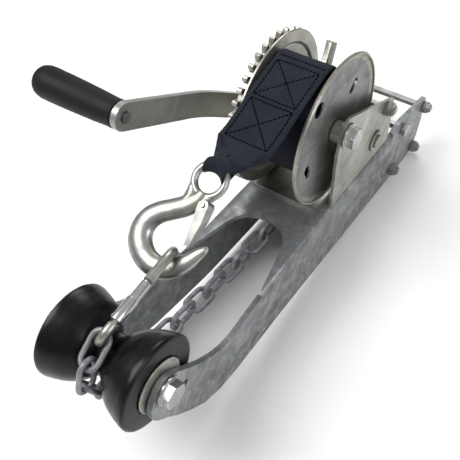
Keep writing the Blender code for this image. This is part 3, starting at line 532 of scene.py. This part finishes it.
# ---- Drum -------------------------------------------------------------------
def gear_side_flange():
    profile = [(73.6, 31.0), (74.0, 30.4), (74.0, 29.2), (73.4, 28.8), (63.0, 28.8),
               (60.4, 30.6), (7.0, 30.6), (7.0, 33.0), (59.0, 33.0), (61.6, 31.0)]
    turned("gear_side_flange", profile, DRUM, ZINC, "drum", "drum_flange_gear", steps=128)


def near_side_flange():
    # The near flange's face takes the darker zinc copy, which is painted shade; its rolled rim
    # keeps the lighter zinc.
    eased("drum_flange_near", PAINTED_SHADE_ZINC, 0.2)
    rim = [(66.4, -30.45), (68.5, -30.8), (70.1, -31.8), (70.6, -33.2), (71.9, -33.45),
           (72.85, -32.0), (71.9, -30.0), (69.8, -28.6), (69.8, -29.2), (71.3, -30.6),
           (71.9, -32.2), (71.4, -32.6), (70.6, -31.2), (68.6, -30.2)]
    turned("flange_rim", rim, DRUM, ZINC, "drum", steps=128)


def wound_strap():
    """The coil: a smooth outer lap, with each ply's edge showing on its sides."""
    half, outer, inner, plies = 25.2, 48.8, 16.5, 20
    ply = (outer - inner) / plies
    side = []
    for i in range(plies):
        low = inner + i * ply
        side += [(low + 0.1 * ply, half - 0.45), (low + 0.5 * ply, half),
                 (low + 0.9 * ply, half - 0.05)]
    profile = side + [(outer, half - 0.6)]
    profile += [(r, -y) for r, y in reversed(profile)]
    bm = turned_mesh(profile, DRUM, 128)
    layer = bm.loops.layers.uv.new("cloth")
    for face in bm.faces:
        middle = face.calc_center_median() - DRUM
        start = math.atan2(middle.z, middle.x)
        for loop in face.loops:
            spot = loop.vert.co - DRUM
            turn = math.atan2(spot.z, spot.x)
            turn += 2 * math.pi * round((start - turn) / (2 * math.pi))
            radius = math.hypot(spot.x, spot.z)
            across = spot.y if abs(middle.y) < half * MM * 0.95 else spot.y + radius
            loop[layer].uv = (turn * outer * MM * 100, across * 100)
    finished(bm, "wound_strap", WEBBING, "drum", "strap_coil", angle=50)


# ---- Free strap -------------------------------------------------------------
STRAP_PATH = [(19, 47.8), (12.5, 51.4), (4, 59), (-1.5, 64.6), (-7, 67.2), (-15, 66.8),
              (-35, 60.8), (-55, 54), (-75, 46.8), (-95, 40.5), (-108, 39.4), (-119, 41),
              (-128, 43.4)]
STRAP_LINE = [Vector(point) for point in spline(STRAP_PATH, 6)]
STRAP_LENGTH = sum((b - a).length for a, b in zip(STRAP_LINE, STRAP_LINE[1:]))
FOLD_EDGE = 34.0                     # the sewn end's fold, along the strap from the coil
TAPER = 96.0 + FOLD_EDGE             # the strap is full width up to here
HALF_WIDTH, LOOP_HALF = 25.0, 9.8
LOOP_ASIDE = -1.6                    # the gathered end pulls to the near side
EYE_LOOP = axis_point("hook_twist")
HOOK_WAY = Vector(JOINTS["hook_twist"]["axis"])
EYE_RING = 13.1


PLY_TOP, PLY_UNDER = 1.5, 1.6        # from the strap's middle to its two faces
FLAP_HEIGHT = 2.8                    # what the folded-in edges add on top
BOW = 0.5                            # how far the sewn plies bow
BOX_HALF = 20.0                      # stitched boxes, half their width
FOLD_ROW = (5, 22)                   # the row at the fold: place and half width
BOXES = ((11, 50), (54, 95))         # the boxes' ends, counted from the fold
STITCH_PITCH = 3.4
STITCH_SIZE = (1.6, 0.8, 0.5)        # half length, width and height of a stitch


def strap_line(distance):
    """Point and upward normal at a distance (mm) along the strap from the coil."""
    left = min(max(distance, 0.0), STRAP_LENGTH)
    for a, b in zip(STRAP_LINE, STRAP_LINE[1:]):
        length = (b - a).length
        if left <= length or b is STRAP_LINE[-1]:
            spot = a + (b - a) * (left / length)
            way = (b - a) / length
            return at(spot.x, 0, spot.y), Vector((way.y, 0, -way.x))
        left -= length


def half_width(distance):
    share = min(max((distance - TAPER) / (STRAP_LENGTH - TAPER), 0), 1)
    return HALF_WIDTH - (HALF_WIDTH - LOOP_HALF) * share


def ring_shift(y):
    """How far a strip beside the middle has slid round the eye."""
    y = min(abs(y), LOOP_HALF - LOOP_ASIDE)
    return EYE_RING - math.sqrt(EYE_RING ** 2 - y ** 2)


def strap_point(distance, y, top, folded=False):
    """Point on the strap, y to the side of its middle."""
    half = half_width(distance)
    spot, up = strap_line(distance)
    edge = max(0, abs(y) / half - 0.94) / 0.06
    height = (PLY_TOP if top else -PLY_UNDER) * (1 - 0.5 * edge)
    if folded:
        height += FLAP_HEIGHT * min((HALF_WIDTH - half) / 1.5, 1)
    # The sewn plies bow a little across the strap
    height += BOW * math.sin(distance * 0.1) * (y / HALF_WIDTH) ** 2
    drawn = max(0, (distance - TAPER) / (STRAP_LENGTH - TAPER))
    y += LOOP_ASIDE * drawn
    slide = drawn * ring_shift(y)
    return spot + ALONG_Y * y * MM + up * height * MM + HOOK_WAY * slide * MM


def strap_section(distance):
    """(y, top, folded) round the strap: both edges fold in over the top as it narrows."""
    half = half_width(distance)
    crease = min(max(2 * half - HALF_WIDTH, 0.4), half * 0.92)
    flat = [crease * i / 7 for i in range(8)]
    flap = [min(crease + 0.3, half)]
    flap += [crease + 0.3 + (half - crease - 0.3) * i / 4 for i in range(1, 5)]
    right = [(y, True, False) for y in flat] + [(y, True, True) for y in flap]
    left = [(-y, top, folded) for y, top, folded in reversed(right[1:])]
    under = [(half - 2 * half * i / 16, False, False) for i in range(17)]
    return left + right + under


def first_ring(bm, count):
    """A closed loop of count edges to grow a strap from."""
    verts = [bm.verts.new((0, 0, i)) for i in range(count)]
    return verts, [bm.edges.new((verts[i - 1], verts[i])) for i in range(count)]


def grow(bm, verts, edges):
    """Extrudes a loop of edges and returns the new loop in the same order."""
    grown = bmesh.ops.extrude_edge_only(bm, edges=edges)["geom"]
    order = {vert: i for i, vert in enumerate(verts)}
    fresh = [None] * len(verts)
    for vert in grown:
        if isinstance(vert, bmesh.types.BMVert):
            for edge in vert.link_edges:
                if edge.other_vert(vert) in order:
                    fresh[order[edge.other_vert(vert)]] = vert
    return fresh, [bm.edges.get((fresh[i - 1], fresh[i])) for i in range(len(fresh))]


def sewn(bm, spots, name, *replaced):
    """Finishes a strap piece, with its cloth laid out from (along, across)."""
    bmesh.ops.holes_fill(bm, edges=bm.edges, sides=80)
    bmesh.ops.recalc_face_normals(bm, faces=bm.faces)
    layer = bm.loops.layers.uv.new("cloth")
    for face in bm.faces:
        for loop in face.loops:
            along, across = spots[loop.vert]
            loop[layer].uv = (along / 10, across / 10)
    finished(bm, name, WEBBING, "winch_head", *replaced, angle=60)


def free_strap():
    rows = 110
    bm = bmesh.new()
    spots = {}
    for row in range(rows + 1):
        distance = STRAP_LENGTH * row / rows
        section = strap_section(distance)
        if row:
            verts, edges = grow(bm, verts, edges)
        else:
            verts, edges = first_ring(bm, len(section))
        for vert, (y, top, folded) in zip(verts, section):
            vert.co = strap_point(distance, y, top, folded)
            spots[vert] = (distance, y)
    sewn(bm, spots, "free_strap", "strap_lead")


def strap_loop():
    """The ply that passes round the hook's eye."""
    start, _ = strap_line(STRAP_LENGTH - 4)
    way = (EYE_LOOP - start).normalized()
    up = Vector((way.z, 0, -way.x))
    reach = (EYE_LOOP - start).length / MM
    line = [(-reach, 1.2), (-reach * 0.5, 3.2)] + arc(0, 0, 5.2, 100, -100, 17)
    line += [(-reach * 0.5, -3.2), (-reach, -1.2)]
    steps = [LOOP_HALF * (-1 + 2 * i / 12) for i in range(13)]
    section = [(y, 1.35) for y in steps] + [(LOOP_HALF + 0.4, 0)]
    section += [(y, -1.35) for y in reversed(steps)] + [(-LOOP_HALF - 0.4, 0)]
    bm = bmesh.new()
    spots = {}
    total = 0.0
    for i, (a, h) in enumerate(line):
        ahead = Vector(line[min(i + 1, len(line) - 1)])
        behind = Vector(line[max(i - 1, 0)])
        run = (ahead - behind).normalized()
        outward = Vector((-run.y, run.x))
        if i:
            total += (Vector(line[i]) - Vector(line[i - 1])).length
            verts, edges = grow(bm, verts, edges)
        else:
            verts, edges = first_ring(bm, len(section))
        for vert, (y, t) in zip(verts, section):
            flat = Vector((a, h)) + outward * t
            spots[vert] = (total, y)
            y += LOOP_ASIDE
            slide = HOOK_WAY * ring_shift(y)
            vert.co = EYE_LOOP + (way * flat.x + up * flat.y + ALONG_Y * y + slide) * MM
    sewn(bm, spots, "strap_loop")


def stitched_boxes():
    """Two crossed boxes of thread on the strap's upper face, and a row at the fold."""
    place, half = FOLD_ROW
    lines = [((FOLD_EDGE + place, -half), (FOLD_EDGE + place, half))]
    for start, end in BOXES:
        start, end = FOLD_EDGE + start, FOLD_EDGE + end
        corners = [(start, -BOX_HALF), (start, BOX_HALF), (end, BOX_HALF), (end, -BOX_HALF)]
        lines += [(corners[i - 1], corners[i]) for i in range(4)]
        lines += [(corners[0], corners[2]), (corners[1], corners[3])]
    bm = bmesh.new()
    for first, last in lines:
        first, last = Vector(first), Vector(last)
        count = round((last - first).length / STITCH_PITCH)
        for i in range(count):
            middle = first.lerp(last, (i + 0.5) / count)
            step = (last - first).normalized() * 0.5
            a = strap_point(middle.x - step.x, middle.y - step.y, True)
            b = strap_point(middle.x + step.x, middle.y + step.y, True)
            _, up = strap_line(middle.x)
            way = (b - a).normalized()
            side = way.cross(up)
            long, wide, high = (part * MM for part in STITCH_SIZE)
            turn = Matrix((way * long, side * wide, up * high)).transposed().to_4x4()
            bmesh.ops.create_uvsphere(bm, u_segments=8, v_segments=6, radius=1.0,
                                      matrix=Matrix.Translation((a + b) / 2) @ turn)
    bmesh.ops.recalc_face_normals(bm, faces=bm.faces)
    finished(bm, "box_stitching", THREAD, "winch_head", angle=80)


# ---- Hook -------------------------------------------------------------------
EYE_CENTRE = EYE_LOOP + HOOK_WAY * EYE_RING * MM


def forged_hook():
    # across the hook, along it from the eye, radius
    line = [(0.0, 11.0, 5.8), (2.0, 17.5, 8.0), (8.4, 25.0, 8.4), (17.4, 32.0, 8.4),
            (26.5, 38.8, 8.8), (32.6, 47, 9.6), (34.2, 56.5, 10.0), (31.0, 66, 10.2),
            (22.9, 73.6, 9.8), (13, 77, 9.4), (3.5, 76.2, 9.0), (-5, 72.2, 8.2),
            (-12.6, 64, 6.8), (-18.2, 54.8, 5.0), (-21.6, 49.5, 3.4), (-23.0, 47.2, 2.0),
            (-23.6, 46.2, 0.9)]
    places = flat_path(spline(line, 6), EYE_CENTRE, ALONG_Y, HOOK_WAY, 0.68)
    finished(swept(places, 28), "forged_hook", HOOK_ZINC, "hook", "hook_body", angle=50)
    # Fillets where the shank spreads into the eye
    shoulders = {"far": [(12.6, 3.0, 2.4), (11.4, 8.0, 3.4), (9.6, 13.5, 5.0), (8.2, 19.5, 6.8),
                         (9.5, 25.5, 7.4)],
                 "near": [(-11.6, 6.0, 2.4), (-8.6, 10.2, 3.4), (-4.6, 14.4, 4.8),
                          (0.0, 19.0, 6.6), (6.0, 23.8, 7.2)]}
    for name, points in shoulders.items():
        places = flat_path(spline(points, 6), EYE_CENTRE, ALONG_Y, HOOK_WAY, 0.74)
        finished(swept(places, 24), "eye_fillet_" + name, HOOK_ZINC, "hook", angle=50)
    ring = [(x, y, 3.1) for x, y in arc(0, 0, EYE_RING, 0, 352.5, 48)]
    places = flat_path(ring, EYE_CENTRE, ALONG_Y, HOOK_WAY, closed=True)
    finished(swept(places, 20, closed=True), "hook_eye", HOOK_ZINC, "hook", angle=60)


# ---- Chain ------------------------------------------------------------------
def chain_links():
    wire, half, inside = 2.25, 10.0, 25.1
    bend = half - wire
    straight = inside / 2 + wire - bend
    loop = [(x, y, wire) for x, y in arc(0, straight, bend, 0, 180, 13)]
    loop += [(x, y, wire) for x, y in arc(0, -straight, bend, 180, 360, 13)]
    links = [node for node in NODES if node.startswith("chain_link_")]
    for i, node in enumerate(sorted(links)):
        joint = JOINTS[f"link_{i + 1:02d}_twist"]
        way = Vector(joint["axis"])
        across = ALONG_Y if i % 2 == 0 else ALONG_Y.cross(way)
        places = flat_path(loop, Vector(joint["pos_m"]), across, way, closed=True)
        finished(swept(places, 14, closed=True), node + "_wire", CHAIN,
                 NODES[node]["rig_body"], node, angle=60)


# ---- Snap -------------------------------------------------------------------
def snap():
    """The sprung snap: a pear-shaped wire body and a tube gate on a pin."""
    way = Vector(JOINTS["snap_twist"]["axis"])
    normal = Vector(JOINTS["gate_tilt"]["axis"])
    side = way.cross(normal)
    origin = axis_point("snap_twist")
    pin = axis_point("gate_tilt") - origin
    px, py = pin.dot(side) / MM, pin.dot(way) / MM
    end = py + 17.5
    path = [(-11.9, py - 36.2, 4.0), (-11.6, (py - 36) * 0.7 + 6, 4.0), (-11.2, 20, 4.0)]
    path += [(x, y, 4.0) for x, y in arc(6, 17, 17, 185, 355, 19)]
    path += [(x, y, 4.0) for x, y in arc(-4, end - 10, 10, 15, 168, 15)]
    path += [(px, py + 5.6, 3.9)]
    places = flat_path(path, origin, side, way)
    bm = swept(places, 20)
    # The wire's end is pressed flat where the gate's fork straddles it
    tongue = origin + (side * px + way * (py + 2.2)) * MM
    turn = Matrix((side * 6.8 * MM, way * 10.4 * MM, normal * 3 * MM)).transposed().to_4x4()
    bmesh.ops.create_cube(bm, size=1.0, matrix=Matrix.Translation(tongue) @ turn)
    finished(bm, "snap_wire", HOOK_ZINC, "snap", "snap_body", angle=50)
    # The gate: plain wire up to its point, and a bright sleeve round the pin
    lean = 1.6 / 35
    gate = [(0.10, -34.9, 2.6), (0.0, -34.2, 3.7), (0.0, -33.0, 4.0), (0.0, -18.0, 4.0),
            (0.0, -17.8, 4.7), (0.0, -17.0, 4.9), (0.0, -6.0, 4.9), (0.0, 1.2, 4.9),
            (0.0, 2.2, 4.6), (0.0, 2.5, 3.6)]
    gate = [(px - y * lean, py + y, r) for _, y, r in gate]
    places = flat_path(gate, origin, side, way)
    finished(swept(places, 28), "gate_sleeve", BOLT_ZINC, "gate", "snap_gate", angle=40)


# ---- Roller and grip --------------------------------------------------------
def bow_roller():
    roller = axis_point("roller_spin")
    half = 43.0
    corner = [(24.0, half), (36.4, half), (37.6, half - 0.25), (38.8, half - 1.0),
              (39.5, half - 2.2)]
    barrel = [(39.5, half - 2.2), (39.3, 38), (38.2, 34), (36.3, 28), (33.8, 22), (30.0, 16),
              (26.0, 11.5), (24.4, 10), (22.6, 8), (20.8, 6), (18.2, 3), (17.6, 0)]
    face = corner + spline(barrel, 5)[1:]
    profile = face + [(r, -y) for r, y in reversed(face[:-1])]
    profile += [(24.0, -half), (23.4, 0.9 - half), (6.8, 0.9 - half), (6.8, half - 0.9),
                (23.4, half - 0.9)]
    turned("rubber_roller", profile, roller, RUBBER, "roller", "bow_roller", steps=112, angle=30)
    for name in ("roller_washer_near", "roller_washer_far"):
        lo, hi = (c[1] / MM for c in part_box(name))
        ring = rounded([(23, hi), (23, lo), (6.8, lo), (6.8, hi)], 0.4, 3, closed=True)
        turned(name + "_disc", ring, roller, ZINC, "winch_head", name, steps=72)


def crank_grip():
    grip = axis_point("grip_spin")
    lo, hi = (c[1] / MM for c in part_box("crank_grip"))
    body = [(0.0, hi), (4.0, hi - 0.25), (8.0, hi - 1.4), (11.5, hi - 3.9), (13.8, hi - 7.5),
            (14.9, hi - 13), (15.0, hi - 22), (14.6, hi - 42), (13.7, hi - 68), (12.9, lo + 10),
            (12.6, lo + 4.2), (12.9, lo + 2.6), (12.6, lo + 1.0), (11.6, lo)]
    profile = spline(body, 4) + [(5.4, lo), (5.4, lo + 72), (0.0, lo + 72)]
    turned("moulded_grip", profile, grip, GRIP, "grip", "crank_grip", steps=72, angle=50)


hard_parts()
near_side_flange()
gear_side_flange()
wound_strap()
free_strap()
strap_loop()
stitched_boxes()
forged_hook()
chain_links()
snap()
bow_roller()
crank_grip()


# ---- Floor and light --------------------------------------------------------
def add_floor():
    low = CAD_BOX[0][2]
    bm = bmesh.new()
    bmesh.ops.create_grid(bm, x_segments=1, y_segments=1, size=4.0,
                          matrix=Matrix.Translation((0, 0, low - 0.002)))
    mesh = bpy.data.meshes.new("floor")
    bm.to_mesh(mesh)
    bm.free()
    mesh.materials.append(plain_floor())
    floor = bpy.data.objects.new("floor", mesh)
    bpy.context.scene.collection.objects.link(floor)


def add_light(name, place, size, power, aim=(-0.25, 0, 0.06)):
    data = bpy.data.lights.new(name, "AREA")
    data.size = size
    data.energy = power
    lamp = bpy.data.objects.new(name, data)
    bpy.context.scene.collection.objects.link(lamp)
    lamp.location = place
    lamp.rotation_euler = (Vector(aim) - Vector(place)).to_track_quat("-Z", "Y").to_euler()


SKY_STRENGTH = 0.6


def add_sky():
    world = bpy.data.worlds.new("studio")
    bpy.context.scene.world = world
    world.use_nodes = True
    tree = world.node_tree
    place = tree.nodes.new("ShaderNodeTexCoord")
    split = tree.nodes.new("ShaderNodeSeparateXYZ")
    ramp = tree.nodes.new("ShaderNodeValToRGB")
    stops = ramp.color_ramp.elements
    stops[0].position, stops[0].color = 0.0, (0.34, 0.34, 0.35, 1)
    stops[1].position, stops[1].color = 0.75, (0.95, 0.95, 0.96, 1)
    tree.links.new(place.outputs["Generated"], split.inputs["Vector"])
    tree.links.new(split.outputs["Z"], ramp.inputs["Fac"])
    tree.links.new(ramp.outputs["Color"], tree.nodes["Background"].inputs["Color"])
    tree.nodes["Background"].inputs["Strength"].default_value = SKY_STRENGTH


bpy.context.scene.view_settings.view_transform = "Standard"
add_floor()
add_sky()
add_light("key", (-0.9, 0.7, 1.3), 0.9, 20)
add_light("front", (-0.5, -1.4, 0.9), 0.9, 9)
add_light("back", (0.9, 0.5, 1.2), 0.7, 10)
